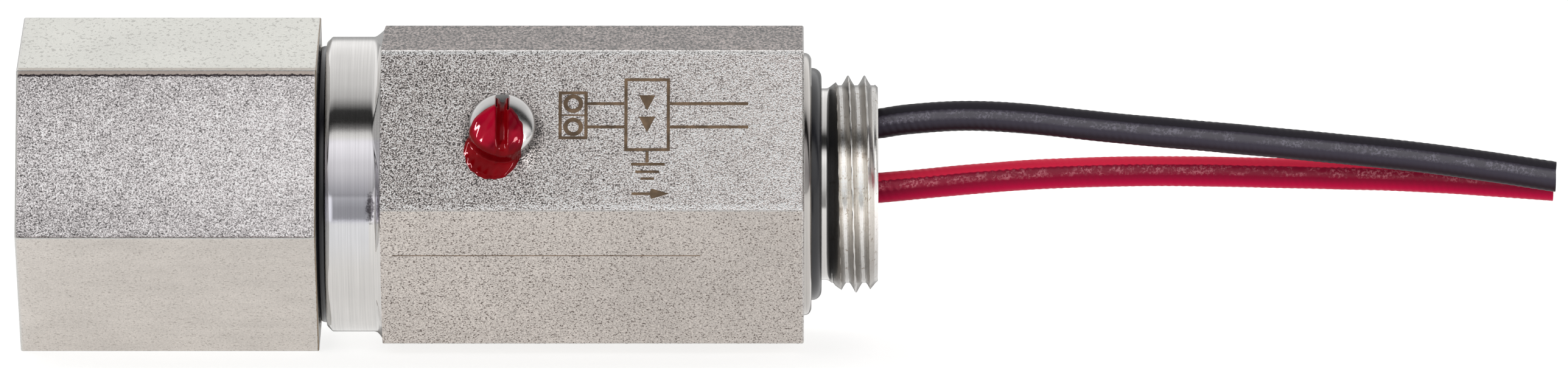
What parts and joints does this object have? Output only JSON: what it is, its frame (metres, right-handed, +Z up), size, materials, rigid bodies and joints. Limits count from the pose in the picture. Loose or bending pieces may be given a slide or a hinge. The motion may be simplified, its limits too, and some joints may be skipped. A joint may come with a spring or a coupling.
{
  "type": "screw-in surge arrester",
  "caption": "In-line screw-in surge arrester for a field instrument: hexagonal steel body, threaded stub with sealing ring, screw-on terminal sleeve and flying leads.",
  "frame": {"origin": "on the common axis of both threads, at the middle of the overall length from the sleeve's left face to the ends of the leads", "axes": "+X along the thread axis towards the instrument and the leads, +Z up out of the body's top wrench flat, -Y towards the corner beside the earth screw's face"},
  "size_m": [0.1401, 0.0312, 0.0292],
  "materials": {
    "body_steel": "blasted, fine grain, satin",
    "sleeve_steel": "blasted, satin",
    "screw_steel": "polished",
    "ring_rubber": "smooth, slightly glossy",
    "red_lacquer": "glossy brushed-on lacquer",
    "tube_film": "satin film",
    "board_laminate": "solder-resist green",
    "green_nylon": "moulded nylon",
    "tinned_copper": "tinned",
    "plated_steel": "zinc plated",
    "brass": "bright strip",
    "electrode_metal": "tinned",
    "ceramic_white": "unglazed",
    "resistor_lacquer": "dipped lacquer",
    "diode_epoxy": "moulded epoxy",
    "potting_resin": "cast resin",
    "black_insulation": "satin sheath",
    "red_insulation": "satin sheath",
    "copper": "bare strand"
  },
  "bodies": {
    "housing": {"body_housing": "body_steel", "stub_o_ring": "ring_rubber", "earth_screw": "screw_steel", "seal_lacquer": "red_lacquer", "insulating_tube": "tube_film", "circuit_board": "board_laminate", "earth_bracket": "brass", "gas_tube_left_electrode": "electrode_metal", "gas_tube_left_ceramic": "ceramic_white", "gas_tube_centre_electrode": "electrode_metal", "gas_tube_right_ceramic": "ceramic_white", "gas_tube_right_electrode": "electrode_metal", "decoupling_resistor_front": "resistor_lacquer", "decoupling_resistor_rear": "resistor_lacquer", "suppressor_diode_front": "diode_epoxy", "suppressor_diode_middle": "diode_epoxy", "suppressor_diode_rear": "diode_epoxy", "terminal_block_body": "green_nylon", "terminal_contact_front": "tinned_copper", "terminal_contact_rear": "tinned_copper", "potting_plug": "potting_resin", "lead_insulation_black": "black_insulation", "lead_insulation_red": "red_insulation", "lead_conductor_black": "copper", "lead_conductor_red": "copper"},
    "sealing_ring": {"sleeve_o_ring": "ring_rubber"},
    "sleeve": {"terminal_sleeve": "sleeve_steel"},
    "terminal_screw_front": {"terminal_screw_front": "plated_steel"},
    "terminal_screw_rear": {"terminal_screw_rear": "plated_steel"},
    "clamp_cage_front": {"clamp_cage_front": "plated_steel"},
    "clamp_cage_rear": {"clamp_cage_rear": "plated_steel"}
  },
  "joints": [
    {"name": "sleeve_turn", "type": "hinge", "parent": "housing", "child": "sealing_ring", "pos_m": [-0.04215, 0, 0], "axis": [-1, 0, 0], "range_deg": [0, 1980]},
    {"name": "sleeve_travel", "type": "slide", "parent": "sealing_ring", "child": "sleeve", "axis": [-1, 0, 0], "range_m": [0, 0.00825]},
    {"name": "terminal_screw_turn_front", "type": "hinge", "parent": "housing", "child": "terminal_screw_front", "pos_m": [-0.05585, -0.0026, 0.0054], "axis": [0, 0, -1], "range_deg": [0, 1440]},
    {"name": "clamp_rise_front", "type": "slide", "parent": "housing", "child": "clamp_cage_front", "axis": [0, 0, 1], "range_m": [0, 0.002]},
    {"name": "terminal_screw_turn_rear", "type": "hinge", "parent": "housing", "child": "terminal_screw_rear", "pos_m": [-0.05585, 0.0026, 0.0054], "axis": [0, 0, -1], "range_deg": [0, 1440]},
    {"name": "clamp_rise_rear", "type": "slide", "parent": "housing", "child": "clamp_cage_rear", "axis": [0, 0, 1], "range_m": [0, 0.002]}
  ],
  "couplings": [
    {"joint": "sleeve_travel", "follows": "sleeve_turn", "m_per_rad": 0.00023873},
    {"joint": "terminal_screw_turn_front", "follows": "clamp_rise_front", "rad_per_m": 12566},
    {"joint": "terminal_screw_turn_rear", "follows": "clamp_rise_rear", "rad_per_m": 12566}
  ]
}
